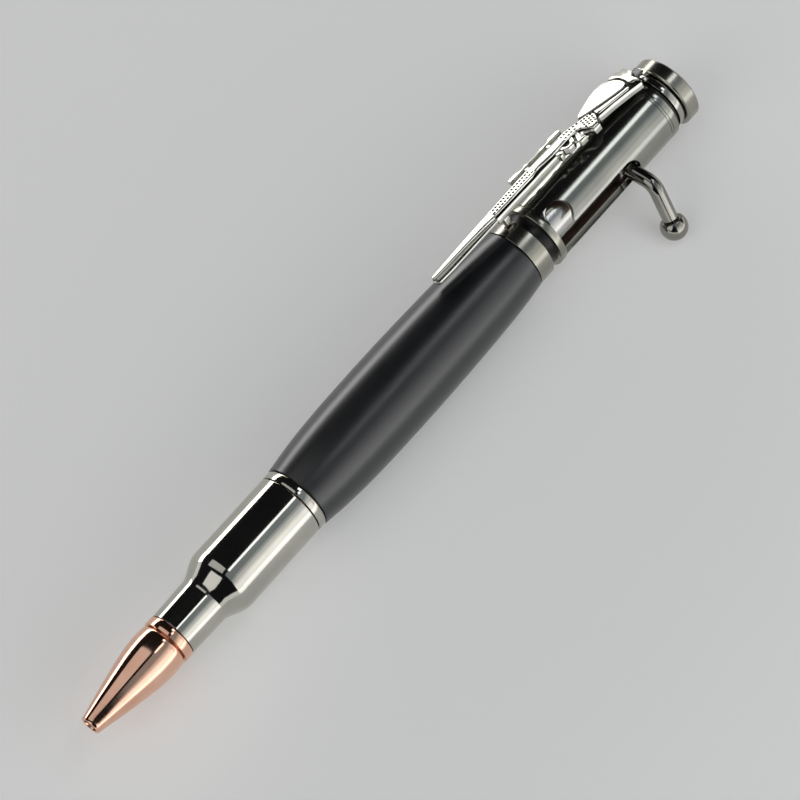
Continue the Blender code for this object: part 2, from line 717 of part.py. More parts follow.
def make_refill():
    body_end = REFILL_SHOULDER_X - REFILL_SHOULDER_THICKNESS - SEAM
    body_start = REFILL_START + REFILL_HEAD_LENGTH + SEAM
    profile = [
        (body_start, REFILL_BORE_R), (body_start, REFILL_R),
        (body_end, REFILL_R), (body_end, REFILL_BORE_R),
    ]
    turned("refill_tube", profile, STEEL, INNER_SIDES)

    insert_r = REFILL_BORE_R - FIT_GAP
    insert_end = body_start + REFILL_INSERT_LENGTH
    head_end = REFILL_START + REFILL_HEAD_LENGTH
    profile = [
        (REFILL_START, 0), (REFILL_START, REFILL_R - PLUNGER_CHAMFER),
        (REFILL_START + PLUNGER_CHAMFER, REFILL_R), (head_end, REFILL_R),
        (head_end, insert_r), (insert_end, insert_r), (insert_end, 0),
    ]
    turned("refill_plug", profile, WHITE, INNER_SIDES)

    # The front plug: insert, shoulder and the neck that holds the point
    seat_r = POINT_R + FIT_GAP
    neck_end = REFILL_SHOULDER_X + REFILL_NECK_LENGTH
    seat_floor = neck_end - POINT_SEAT_DEPTH
    ink_r = POINT_R / 2
    shoulder_start = REFILL_SHOULDER_X - REFILL_SHOULDER_THICKNESS
    profile = [
        (body_end - REFILL_INSERT_LENGTH, ink_r),
        (body_end - REFILL_INSERT_LENGTH, insert_r),
        (shoulder_start, insert_r), (shoulder_start, REFILL_R),
        (REFILL_SHOULDER_X, REFILL_R), (REFILL_SHOULDER_X, REFILL_NECK_R),
        (neck_end, REFILL_NECK_R), (neck_end, seat_r),
        (seat_floor, seat_r), (seat_floor, ink_r),
    ]
    turned("refill_neck", profile, WHITE, INNER_SIDES)

    # The point tube with its cone, and the ball in the cone's mouth
    ball_x = POINT_X - BALL_R
    mouth_x = POINT_X - BALL_SHOWS
    socket_r = BALL_R + BALL_GAP
    socket_floor = ball_x - socket_r
    point_start = seat_floor + SEAM
    profile = [
        (point_start, ink_r), (point_start, POINT_R),
        (mouth_x - POINT_CONE_LENGTH, POINT_R), (mouth_x, POINT_MOUTH_R),
        (mouth_x, socket_r), (socket_floor, socket_r), (socket_floor, ink_r),
    ]
    turned("refill_point", profile, STEEL, SMALL_SIDES)

    ball = bmesh.new()
    bmesh.ops.create_uvsphere(ball, u_segments=8, v_segments=6, radius=BALL_R)
    obj = add_object("refill_ball", ball, STEEL)
    obj.location = (ball_x, 0, 0)


def face_height(x):
    """The clip face's height over the pen's axis: low at butt and muzzle."""
    along = min((x - CLIP_BUTT_X) / CLIP_LENGTH, 1)
    low = CLIP_FACE_SHARES[0]
    for high in CLIP_FACE_SHARES[1:]:
        if along <= high[0]:
            break
        low = high
    part = (along - low[0]) / (high[0] - low[0])
    return CLIP_FACE_R - CLIP_FACE_DROP * (low[1] + (high[1] - low[1]) * part)


def clip_points(shares):
    """Turn outline shares into flat points: along the pen and across the clip."""
    return [
        (CLIP_BUTT_X + CLIP_LENGTH * along, CLIP_STOCK_HEIGHT * across)
        for along, across in shares
    ]


def make_flat_rifle():
    """The clip laid flat: X along, Y across, Z = 0 on its face and the pen below."""
    rifle = add_object("flat_rifle", prism(clip_points(STOCK_SHARES), -CLIP_THICKNESS, 0))
    inset = CLIP_BARREL_THICKNESS / 4
    floor = inset - CLIP_THICKNESS
    barrel = prism(clip_points(BARREL_OUTLINE_SHARES), -CLIP_BARREL_THICKNESS, -inset / 2)
    parts = [add_object("rifle_barrel", barrel)]
    for name, shares in (("rifle_magazine", MAGAZINE_SHARES), ("rifle_trigger", TRIGGER_SHARES)):
        parts.append(add_object(name, prism(clip_points(shares), floor, -inset)))
    for i, (start, end) in enumerate(MOUNT_SHARES):
        outline = [(start, 0), (end, 0), (end, MOUNT_TOP_SHARE), (start, MOUNT_TOP_SHARE)]
        parts.append(add_object(f"scope_mount_{i}", prism(clip_points(outline), floor, -inset)))
    profile = [
        (CLIP_BUTT_X + CLIP_LENGTH * along, SCOPE_BELL_R * out) for along, out in SCOPE_SHARES
    ]
    scope = add_object("rifle_scope", lathe(profile, SMALL_SIDES))
    across = CLIP_STOCK_HEIGHT * SCOPE_ACROSS_SHARE
    scope.data.transform(Matrix.Translation((0, across, -SCOPE_SINK)))
    parts.append(scope)
    for part in parts:
        boolean(rifle, part, "UNION")
    return rifle


def clip_hinge():
    """Where the clip bends: the foot's end corner, just over the ring's tab."""
    return Vector((RING_START, 0, 0)) + direction(CLIP_ANGLE) * (TAB_REACH + FIT_GAP)


def make_rifle_clip():
    flat = as_tool(make_flat_rifle())
    graph = bpy.context.evaluated_depsgraph_get()
    mesh = bpy.data.meshes.new_from_object(flat.evaluated_get(graph))
    bm = bmesh.new()
    bm.from_mesh(mesh)
    bpy.data.meshes.remove(mesh)
    # Cut across wherever the face's height changes its slope, so that it bends there
    for along, _ in CLIP_FACE_SHARES[1:-1]:
        place = Vector((CLIP_BUTT_X + CLIP_LENGTH * along, 0, 0))
        everything = bm.verts[:] + bm.edges[:] + bm.faces[:]
        bmesh.ops.bisect_plane(bm, geom=everything, plane_co=place, plane_no=(1, 0, 0))
    bmesh.ops.triangulate(bm, faces=bm.faces)
    out = direction(CLIP_ANGLE)
    across = direction(CLIP_ANGLE + math.pi / 2)
    for vert in bm.verts:
        x, y, z = vert.co
        height = face_height(x) + z
        vert.co = Vector((x, 0, 0)) + out * height + across * y
    clip = add_object("rifle_clip", bm, CHROME)

    # The foot that reaches over the ring's tab, and the nub that rests by the band
    half = TAB_WIDTH / 2
    foot_floor = TAB_REACH + FIT_GAP
    foot_end = CLIP_BUTT_X + CLIP_THICKNESS
    foot_top = foot_floor + CLIP_FOOT_THICKNESS
    outline = [(RING_START, -half), (foot_end, -half), (foot_end, half), (RING_START, half)]
    foot = add_object("clip_foot", prism(outline, foot_floor, foot_top))
    nub_x = BAND_START + CLIP_NUB_OVERLAP
    nub_half = CLIP_NUB_SIZE / 2
    outline = [
        (nub_x - CLIP_NUB_SIZE, -nub_half), (nub_x, -nub_half),
        (nub_x, nub_half), (nub_x - CLIP_NUB_SIZE, nub_half),
    ]
    nub_top = face_height(nub_x) - CLIP_THICKNESS / 2
    nub = add_object("clip_nub", prism(outline, BAND_R + FIT_GAP, nub_top))
    for part in (foot, nub):
        part.data.transform(radial_frame(CLIP_ANGLE))
        boolean(clip, part, "UNION")
    set_origin(clip, clip_hinge())


def set_origin(obj, place):
    """Put an object's origin on its joint's axis without moving its shape."""
    obj.data.transform(Matrix.Translation(-place))
    obj.location = place


def parent_to(obj, carrier):
    obj.parent = carrier
    obj.matrix_parent_inverse = carrier.matrix_world.inverted()


def main():
    for obj in list(bpy.data.objects):
        bpy.data.objects.remove(obj, do_unlink=True)
    make_finial()
    make_clip_ring()
    make_top_bush()
    make_bolt_housing()
    plunger = make_bolt_plunger()
    handle = make_bolt_handle()
    knob = make_handle_knob()
    make_centre_coupling()
    make_barrel_sleeve()
    make_barrel_liner()
    make_lower_coupler()
    make_lower_trim_ring()
    make_cartridge_shell()
    make_nose_collar()
    make_nose_cone()
    make_return_spring()
    make_refill()
    make_rifle_clip()
    for obj in (handle, knob):
        parent_to(obj, plunger)
    print(f"pen length {PEN_LENGTH * 1000:.1f} mm, bolt travel {BOLT_TRAVEL * 1000:.2f} mm, "
          f"handle at x {HANDLE_X * 1000:.2f} mm")
    print("clip hinge at", [round(v * 1000, 3) for v in clip_hinge()], "mm")


main()
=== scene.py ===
import math

import bmesh
import bpy
from mathutils import Matrix, Vector


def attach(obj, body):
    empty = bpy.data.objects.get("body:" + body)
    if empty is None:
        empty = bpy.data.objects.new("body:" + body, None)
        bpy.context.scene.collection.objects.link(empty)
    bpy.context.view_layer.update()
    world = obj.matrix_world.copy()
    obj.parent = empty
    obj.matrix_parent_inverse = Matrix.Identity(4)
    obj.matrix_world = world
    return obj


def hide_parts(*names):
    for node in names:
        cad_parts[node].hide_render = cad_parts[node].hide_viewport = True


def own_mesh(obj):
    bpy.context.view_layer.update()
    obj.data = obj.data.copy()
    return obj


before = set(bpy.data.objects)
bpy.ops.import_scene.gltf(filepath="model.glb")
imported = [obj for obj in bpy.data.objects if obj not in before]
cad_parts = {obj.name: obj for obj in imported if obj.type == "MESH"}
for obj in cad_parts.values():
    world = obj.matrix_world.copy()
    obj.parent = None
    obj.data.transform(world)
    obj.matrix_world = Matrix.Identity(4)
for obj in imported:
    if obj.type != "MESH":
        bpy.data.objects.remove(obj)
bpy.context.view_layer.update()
mm = 0.001
print("stage 1: frame loaded")

sameSpot = 2e-6  # points that are nearer than this, in metres, are one point


# small helpers: selecting, drawing a section, finishing a piece

def clearAll():
    if bpy.context.object and bpy.context.object.mode != "OBJECT":
        bpy.ops.object.mode_set(mode="OBJECT")
    bpy.ops.object.select_all(action="DESELECT")


def pickPiece(piece):
    clearAll()
    piece.select_set(True)
    bpy.context.view_layer.objects.active = piece


def pickFaces(test):
    # leaves only the faces that pass the test selected
    bpy.ops.mesh.select_mode(type="FACE")
    bpy.ops.mesh.select_all(action="DESELECT")
    mesh = bmesh.from_edit_mesh(bpy.context.object.data)
    for face in mesh.faces:
        face.select_set(test(face))
    bmesh.update_edit_mesh(bpy.context.object.data)


def fixPlace(piece):
    # its place and turn go into its mesh, so that the object stays at the origin
    pickPiece(piece)
    bpy.ops.object.transform_apply(location=True, rotation=True, scale=True)
    return piece


def swing(piece, degrees):
    # turns the mesh about the pen's axis
    piece.rotation_euler.x = math.radians(degrees)
    return fixPlace(piece)


def closeUp():
    # merges what lies on one spot, turns the faces outwards and leaves edit mode
    bpy.ops.mesh.select_all(action="SELECT")
    bpy.ops.mesh.remove_doubles(threshold=sameSpot)
    bpy.ops.mesh.normals_make_consistent(inside=False)
    bpy.ops.object.mode_set(mode="OBJECT")


def drawLine(name, points, closed):
    # a plane shrunk to one point, then extruded from point to point, in millimetres
    clearAll()
    bpy.ops.mesh.primitive_plane_add(size=mm)
    piece = bpy.context.object
    piece.name = piece.data.name = name
    bpy.ops.object.mode_set(mode="EDIT")
    bpy.ops.mesh.merge(type="CENTER")
    bpy.ops.mesh.select_mode(type="VERT")
    bpy.ops.mesh.select_all(action="SELECT")
    places = [Vector(p) * mm for p in points]
    if closed:
        places.append(places[0])
    bpy.ops.transform.translate(value=places[0])
    for here, there in zip(places, places[1:]):
        bpy.ops.mesh.extrude_vertices_move(TRANSFORM_OT_translate={"value": there - here})
    bpy.ops.mesh.select_all(action="SELECT")
    if closed:
        bpy.ops.mesh.remove_doubles(threshold=sameSpot)
    return piece


def plateFrom(name, points, pull):
    # a closed outline, filled and then pulled out into a body, in millimetres
    piece = drawLine(name, points, True)
    bpy.ops.mesh.edge_face_add()
    bpy.ops.mesh.extrude_region_move(TRANSFORM_OT_translate={"value": Vector(pull) * mm})
    closeUp()
    return piece


def blockFrom(name, along, across, level, tall):
    # along and across: (from, to) in millimetres
    (a, b), (left, right) = along, across
    corners = [(a, left, level), (b, left, level), (b, right, level), (a, right, level)]
    return plateFrom(name, corners, (0, 0, tall))


def turnedPiece(name, section, steps, edge=0):
    # section: (along, radius) in millimetres, left open where it meets the pen's axis
    piece = drawLine(name, [(x, 0, r) for x, r in section], min(r for x, r in section) > 0)
    bpy.ops.mesh.spin(steps=steps, angle=2 * math.pi, center=(0, 0, 0), axis=(1, 0, 0))
    closeUp()
    if edge:
        softenEdges(piece, edge)
    return piece


def softenEdges(piece, width, angle=30, segments=2):
    rounding = piece.modifiers.new("softEdge", "BEVEL")
    rounding.width = width * mm
    rounding.segments = segments
    rounding.limit_method = "ANGLE"
    rounding.angle_limit = math.radians(angle)
    applyAll(piece)


def applyAll(piece):
    pickPiece(piece)
    for step in list(piece.modifiers):
        bpy.ops.object.modifier_apply(modifier=step.name)


def drill(sides, radius, x, low, high, angle):
    # a round cutter from one radius to another, at its angle round the pen
    clearAll()
    bpy.ops.mesh.primitive_cylinder_add(vertices=sides, radius=radius * mm, depth=(high - low) * mm,
                                        location=(x * mm, 0, (high + low) / 2 * mm))
    return swing(fixPlace(bpy.context.object), angle - 90)


def cutWith(piece, cutters, operation="DIFFERENCE"):
    for cutter in cutters:
        step = piece.modifiers.new("cut", "BOOLEAN")
        step.operation = operation
        step.solver = "EXACT"
        step.object = cutter
        step.material_mode = "TRANSFER" if cutter.data.materials else "INDEX"
        applyAll(piece)
        bpy.data.objects.remove(cutter)
    return piece


def joined(name, parts):
    clearAll()
    for part in parts:
        part.select_set(True)
    bpy.context.view_layer.objects.active = parts[0]
    bpy.ops.object.transform_apply(location=True, rotation=True, scale=True)
    bpy.ops.object.join()
    bpy.context.object.name = bpy.context.object.data.name = name
    return bpy.context.object


def smooth(piece, angle=32, keepFlats=True):
    pickPiece(piece)
    bpy.ops.object.shade_smooth_by_angle(angle=math.radians(angle))
    if keepFlats:  # flats stay flat beside their rounded edges
        flats = piece.modifiers.new("flats", "WEIGHTED_NORMAL")
        flats.keep_sharp = True
        applyAll(piece)
    return piece


def flowThrough(points, between=5):
    # a smooth line through given points
    flow = []
    for i in range(len(points) - 1):
        a, b = Vector(points[i]), Vector(points[i + 1])
        before = Vector(points[max(i - 1, 0)])
        after = Vector(points[min(i + 2, len(points) - 1)])
        for k in range(between):
            t = k / between
            flow.append(0.5 * (2 * a + (b - before) * t + (2 * before - 5 * a + 4 * b - after) * t * t
                               + (3 * a - before - 3 * b + after) * t ** 3))
    return [tuple(p) for p in flow] + [tuple(points[-1])]


# finishes

def addNode(tree, kind, **inputs):
    node = tree.nodes.new(kind)
    for key, value in inputs.items():
        feed(tree, node.inputs[key], value)
    return node


def feed(tree, socket, value):
    # a link or a plain value, as it comes
    if isinstance(value, bpy.types.NodeSocket):
        tree.links.new(value, socket)
    else:
        socket.default_value = value


def sumUp(tree, operation, first, second):
    node = tree.nodes.new("ShaderNodeMath")
    node.operation = operation
    feed(tree, node.inputs[0], first)
    feed(tree, node.inputs[1], second)
    return node.outputs[0]


def lengthOf(tree, vector):
    node = tree.nodes.new("ShaderNodeVectorMath")
    node.operation = "LENGTH"
    tree.links.new(vector, node.inputs[0])
    return node.outputs["Value"]


def spreadOut(tree, value, numbers):
    # numbers: (from lowest, from highest, to lowest, to highest)
    node = addNode(tree, "ShaderNodeMapRange", Value=value)
    for socket, number in zip(("From Min", "From Max", "To Min", "To Max"), numbers):
        node.inputs[socket].default_value = number
    return node.outputs["Result"]


def fadeBetween(tree, value, positions, colours):
    node = tree.nodes.new("ShaderNodeValToRGB")
    for stop, position, colour in zip(node.color_ramp.elements, positions, colours):
        stop.position, stop.color = position, (*colour, 1)
    tree.links.new(value, node.inputs["Fac"])
    return node


def metalFinish(name, look):
    made = bpy.data.materials.new(name)
    made.use_nodes = True
    tree = made.node_tree
    shader = tree.nodes["Principled BSDF"]
    place = tree.nodes.new("ShaderNodeTexCoord").outputs["Object"]
    # tool marks run round the pen: they change along it and outwards only
    parts = addNode(tree, "ShaderNodeSeparateXYZ", Vector=place)
    across = addNode(tree, "ShaderNodeCombineXYZ", Y=parts.outputs["Y"], Z=parts.outputs["Z"])
    turned = addNode(tree, "ShaderNodeCombineXYZ", X=parts.outputs["X"], Y=lengthOf(tree, across.outputs[0]))

    def grain(vector, scale, detail, roughness):
        return addNode(tree, "ShaderNodeTexNoise", Vector=vector, Scale=scale, Detail=detail,
                       Roughness=roughness).outputs["Fac"]

    marks = grain(turned.outputs[0] if look["turned"] else place, look["markScale"], 4.0, 0.7)
    cloud = grain(place, look["cloudScale"], 3.0, 0.55)
    fine = grain(place, look["fineScale"], 2.0, 0.5)
    # colour drifts between two close tones
    tone = fadeBetween(tree, cloud, look["toneFade"], look["tones"])
    # roughness: handling haze over the tool marks
    haze = sumUp(tree, "ADD", sumUp(tree, "MULTIPLY", marks, look["markShare"]),
                 sumUp(tree, "MULTIPLY", cloud, 1 - look["markShare"]))
    height = sumUp(tree, "ADD", marks, sumUp(tree, "MULTIPLY", fine, look["fineShare"]))
    bump = addNode(tree, "ShaderNodeBump", Height=height, Strength=look["bump"],
                   Distance=look["bumpDepth"] * mm)
    for socket, value in {
        "Metallic": look["metallic"], "Specular IOR Level": look["specular"],
        "Coat Weight": look["coat"], "Coat Roughness": look["coatRoughness"],
        "Base Color": tone.outputs["Color"], "Normal": bump.outputs["Normal"],
        "Roughness": spreadOut(tree, haze, (*look["hazeFade"], *look["rough"])),
    }.items():
        feed(tree, shader.inputs[socket], value)
    return made


# what every finish starts from; looks gives each one's own values
plainLook = {
    "metallic": 1.0, "specular": 0.5, "coat": 0.0, "coatRoughness": 0.03,
    "tones": ((0.39, 0.385, 0.35), (0.46, 0.452, 0.405)), "toneFade": (0.35, 0.68),
    "rough": (0.07, 0.15), "hazeFade": (0.3, 0.7), "markShare": 0.6, "turned": True,
    "markScale": 2600, "cloudScale": 180, "fineScale": 5000, "fineShare": 0.3,
    "bump": 0.12, "bumpDepth": 0.01,
}
looks = {
    "polishedGunmetal": {},
    # painted light: shell and trim ring take lighter tones of the same gunmetal, as the light is stronger
    # towards the tip
    "paintedLightGunmetal": {
        "tones": ((0.468, 0.455, 0.41), (0.538, 0.522, 0.465)), "rough": (0.05, 0.11)},
    # painted shade: the tube takes darker tones of the same gunmetal, as the light falls off towards the tail
    "paintedShadeTubeGunmetal": {
        "tones": ((0.31, 0.313, 0.282), (0.36, 0.36, 0.32)), "rough": (0.13, 0.18),
        "markScale": 9000, "fineScale": 14000, "fineShare": 0.5, "bump": 0.01, "bumpDepth": 0.002},
    "turnedGunmetal": {
        "tones": ((0.30, 0.29, 0.25), (0.38, 0.37, 0.315)), "rough": (0.16, 0.24),
        "markScale": 4200, "bump": 0.45, "bumpDepth": 0.015},
    "darkGunmetal": {
        "tones": ((0.25, 0.243, 0.22), (0.33, 0.32, 0.285)), "rough": (0.08, 0.15),
        "turned": False, "markScale": 900, "bump": 0.06},
    "castGunmetal": {
        "tones": ((0.55, 0.545, 0.50), (0.66, 0.65, 0.585)), "rough": (0.10, 0.18),
        "turned": False, "markScale": 1400, "cloudScale": 300, "bump": 0.12, "bumpDepth": 0.02},
    # painted shade: the clip's back and foot made dark, so the tube under the clip darkens
    "clipBackPaintedShade": {
        "tones": ((0.10, 0.10, 0.10), (0.16, 0.155, 0.15)), "rough": (0.28, 0.42),
        "turned": False, "markScale": 1800, "cloudScale": 300, "bump": 0.3, "bumpDepth": 0.02},
    # painted shade: near-black laid where shade falls, in the coupling's groove, the clip's low ground and
    # its pits
    "recessPaintedShade": {
        "tones": ((0.018, 0.018, 0.018), (0.04, 0.038, 0.036)), "rough": (0.22, 0.38),
        "turned": False, "markScale": 3000, "bump": 0.3},
    "rosyCopper": {
        "tones": ((0.80, 0.46, 0.33), (0.88, 0.56, 0.42)), "rough": (0.06, 0.13),
        "markScale": 3000, "bump": 0.1},
    "satinLacquer": {
        "metallic": 0.0, "tones": ((0.0045, 0.005, 0.0065), (0.008, 0.0085, 0.0105)),
        "rough": (0.27, 0.34), "markScale": 5200, "fineScale": 9000, "fineShare": 0.6,
        "bump": 0.35, "bumpDepth": 0.012, "specular": 0.8, "coat": 0.2, "coatRoughness": 0.3},
    "machinedBrass": {
        "tones": ((0.66, 0.48, 0.22), (0.76, 0.60, 0.32)), "rough": (0.22, 0.36),
        "markScale": 3800, "bump": 0.4},
    "bareBore": {
        "tones": ((0.46, 0.31, 0.21), (0.58, 0.41, 0.29)), "rough": (0.40, 0.55),
        "metallic": 0.6, "markScale": 3800, "bump": 0.3},
    "darkBush": {
        "tones": ((0.035, 0.033, 0.03), (0.07, 0.065, 0.055)), "rough": (0.3, 0.45)},
    "springWire": {
        "tones": ((0.50, 0.50, 0.49), (0.62, 0.61, 0.59)), "rough": (0.2, 0.32),
        "turned": False, "markScale": 6000, "bump": 0.3},
    "drawnSteel": {
        "tones": ((0.52, 0.51, 0.49), (0.63, 0.62, 0.60)), "rough": (0.16, 0.28)},
    "refillPlastic": {
        "metallic": 0.0, "tones": ((0.70, 0.70, 0.66), (0.78, 0.78, 0.75)),
        "rough": (0.38, 0.5), "turned": False, "markScale": 2500, "bump": 0.2},
}
finishes = {name: metalFinish(name, {**plainLook, **look}) for name, look in looks.items()}


def dress(piece, finish):
    piece.data.materials.clear()
    piece.data.materials.append(finishes[finish])
    return piece


def paintFaces(piece, finish, test):
    # one more finish, on the faces that pass the test
    piece.data.materials.append(finishes[finish])
    pickPiece(piece)
    bpy.ops.object.mode_set(mode="EDIT")
    pickFaces(test)
    piece.active_material_index = len(piece.data.materials) - 1
    bpy.ops.object.material_slot_assign()
    bpy.ops.object.mode_set(mode="OBJECT")


def settle(piece, body, node, finish=None):
    # the finished piece takes its finish, rides on its body and stands for its node
    if finish:
        dress(piece, finish)
    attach(piece, body)
    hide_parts(node)
    print("   ", piece.name, "done,", len(piece.data.polygons), "faces")


# return spring: a copy of the CAD's
spring = {"seat": 133.0, "travel": 15.5, "smoothAngle": 60}


def makeSpring():
    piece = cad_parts["return_spring"].copy()
    piece.data = piece.data.copy()
    piece.name = piece.data.name = "returnSpring"
    bpy.context.scene.collection.objects.link(piece)
    pickPiece(piece)
    bpy.ops.object.mode_set(mode="EDIT")
    bpy.ops.mesh.select_all(action="SELECT")
    bpy.ops.mesh.remove_doubles(threshold=sameSpot)
    bpy.ops.object.mode_set(mode="OBJECT")
    return smooth(piece, spring["smoothAngle"], False)


coil = makeSpring()
settle(coil, "pen", "return_spring", "springWire")
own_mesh(coil)

# inner parts: the CAD's own shapes, with their finishes
innerParts = {
    "top_bush": "darkBush", "barrel_liner": "machinedBrass", "lower_coupler": "machinedBrass",
    "refill_tube": "drawnSteel", "refill_plug": "refillPlastic",
    "refill_neck": "refillPlastic", "refill_point": "drawnSteel", "refill_ball": "springWire",
}
for node, finish in innerParts.items():
    dress(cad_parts[node], finish)
print("stage 2: finishes made, inner parts dressed")

# end cap: a turned disc with a ring cut in its face, and the stud that holds the clip
endCap = {
    "section": [(0, 0), (0, 4.25), (0.1, 4.35), (0.1, 4.6), (0, 4.7), (0, 5.72), (0.3, 6.02), (2.42, 6.02),
                (2.7, 5.74), (2.7, 2.0), (9.3, 2.0), (9.3, 0)],
    "steps": 144, "edge": 0.06,
}
cap = turnedPiece("endCap", endCap["section"], endCap["steps"], endCap["edge"])
settle(smooth(cap), "pen", "finial", "turnedGunmetal")

# clip ring with its tab
clipRing = {
    "section": [(2.9, 2.25), (2.9, 5.33), (4.1, 5.33), (4.1, 2.25)],
    "tabAlong": (2.9, 4.1), "tabWidth": 2.0, "tabFrom": 3.6, "tabReach": 6.6,  # root and end radii
    "clipAngle": 122, "steps": 128, "edge": 0.1, "edgeAngle": 40,
}


def makeRing(r):
    half = r["tabWidth"] / 2
    tab = blockFrom("clipTab", r["tabAlong"], (-half, half), r["tabFrom"], r["tabReach"] - r["tabFrom"])
    swing(tab, r["clipAngle"] - 90)
    ring = cutWith(turnedPiece("clipRing", r["section"], r["steps"]), [tab], "UNION")
    softenEdges(ring, r["edge"], r["edgeAngle"])
    return smooth(ring)


settle(makeRing(clipRing), "pen", "clip_ring", "polishedGunmetal")

# tube with its slot, the hook at the slot's end and two fine turned lines
tube = {
    "start": 4.9, "end": 33.4, "radius": 5.8, "bore": 4.75, "chamfer": 0.15,
    "spigotRadius": 5.2, "spigotEnd": 34.4, "lines": (6.1, 6.6), "lineWidth": 0.22, "lineDepth": 0.14,
    "slotAngle": 16.4, "slotStart": 14.7, "slotWidth": 4.5, "slotSteps": 24,
    "hookAngle": 65, "hookRadius": 2.34, "hookSides": 64, "tongueTip": 29.8, "waySteps": 6,
    "cutFrom": 1.5, "cutTo": 11.6, "cutPast": 0.1,  # the cutters' radii, and how far they pass the spigot
    "steps": 160, "edge": 0.05, "edgeAngle": 35, "boreSkin": 0.05,
}


def makeTube(t):
    outer, lineFloor = t["radius"], t["radius"] - t["lineDepth"]
    section = [(t["start"], t["bore"]), (t["start"], outer - t["chamfer"]),
               (t["start"] + t["chamfer"], outer)]
    for x in t["lines"]:
        section += [(x + t["lineWidth"] * share, r)
                    for share, r in ((0, outer), (0.3, lineFloor), (0.7, lineFloor), (1, outer))]
    section += [(t["end"], outer), (t["end"], t["spigotRadius"]), (t["spigotEnd"], t["spigotRadius"]),
                (t["spigotEnd"], t["bore"])]
    body = turnedPiece("boltTube", section, t["steps"])
    low, high, past = t["cutFrom"], t["cutTo"], t["spigotEnd"] + t["cutPast"]
    # slot: a half-round end drawn point by point, and straight sides
    r, steps = t["slotWidth"] / 2, t["slotSteps"]
    turn = [math.pi / 2 + math.pi * k / steps for k in range(steps + 1)]
    outline = [(t["slotStart"] + r + r * math.cos(a), r * math.sin(a), low) for a in turn]
    slot = plateFrom("slotCutter", outline + [(past, -r, low), (past, r, low)], (0, 0, high - low))
    swing(slot, t["slotAngle"] - 90)
    # hook: a round drilled from outside
    hook = drill(t["hookSides"], t["hookRadius"], t["end"] - t["hookRadius"], low, high, t["hookAngle"])
    # the way round from slot to hook
    between, steps = t["hookAngle"] - t["slotAngle"], t["waySteps"]
    sweep = [math.radians(t["slotAngle"] + between * k / steps) for k in range(steps + 1)]
    wedge = [(t["tongueTip"], low * math.cos(a), low * math.sin(a)) for a in sweep]
    wedge += [(t["tongueTip"], high * math.cos(a), high * math.sin(a)) for a in reversed(sweep)]
    way = plateFrom("wayCutter", wedge, (past - t["tongueTip"], 0, 0))
    cutWith(body, [slot, hook, way])
    softenEdges(body, t["edge"], t["edgeAngle"])
    return smooth(body)


def inBore(face):
    return face.calc_center_median().yz.length < (tube["bore"] + tube["boreSkin"]) * mm


tubeBody = dress(makeTube(tube), "paintedShadeTubeGunmetal")
paintFaces(tubeBody, "bareBore", inBore)
settle(tubeBody, "pen", "bolt_housing")

# plunger: slides in the tube, drilled for the handle and hollow in front
plunger = {
    "headStart": 12.4, "headEnd": 18.2, "headRadius": 4.5, "rodRadius": 3.65, "rodEnd": 35.2,
    "cupRadius": 3.2, "cupDepth": 5.5, "holeRadius": 1.15, "holeFrom": 1.2, "holeTo": 7.2,
    "holeSides": 48, "steps": 96, "edge": 0.15,
}
# handle: a rod bent once, with a thin shank in the plunger and a tenon in the knob
handle = {
    "at": 16.3, "angle": 12, "radius": 1.3, "shankRadius": 0.9, "shankStart": 1.45, "headGap": 0.25,
    "legLength": 9.7, "bendRadius": 2.6, "tenonRadius": 0.8, "tenonLength": 1.2, "knobGap": 0.2,
    "sides": 40, "bendSteps": 20, "edge": 0.12, "edgeAngle": 40, "edgeSegments": 3,
}
# knob: a ball with a flat, and the tenon's socket in it
knob = {
    "radius": 2.29, "flat": 1.3, "offset": (1.3, 14.85, -4.14), "socketGap": 0.25,
    "arcSteps": 30, "steps": 64, "edge": 0.06,
}


def makePlunger(p):
    cupEnd = p["rodEnd"] - p["cupDepth"]
    section = [(p["headStart"], 0), (p["headStart"], p["headRadius"]), (p["headEnd"], p["headRadius"]),
               (p["headEnd"], p["rodRadius"]), (p["rodEnd"], p["rodRadius"]), (p["rodEnd"], p["cupRadius"]),
               (cupEnd, p["cupRadius"]), (cupEnd, 0)]
    piece = turnedPiece("boltPlunger", section, p["steps"], p["edge"])
    hole = drill(p["holeSides"], p["holeRadius"], handle["at"], p["holeFrom"], p["holeTo"], handle["angle"])
    return cutWith(piece, [hole])


def handleWay():
    # where the handle is rooted, which way it leaves, its corner and the knob's middle
    root = Vector((handle["at"], 0, 0))
    a = math.radians(handle["angle"])
    out = Vector((0, math.cos(a), math.sin(a)))
    return root, out, root + out * handle["legLength"], root + Vector(knob["offset"])


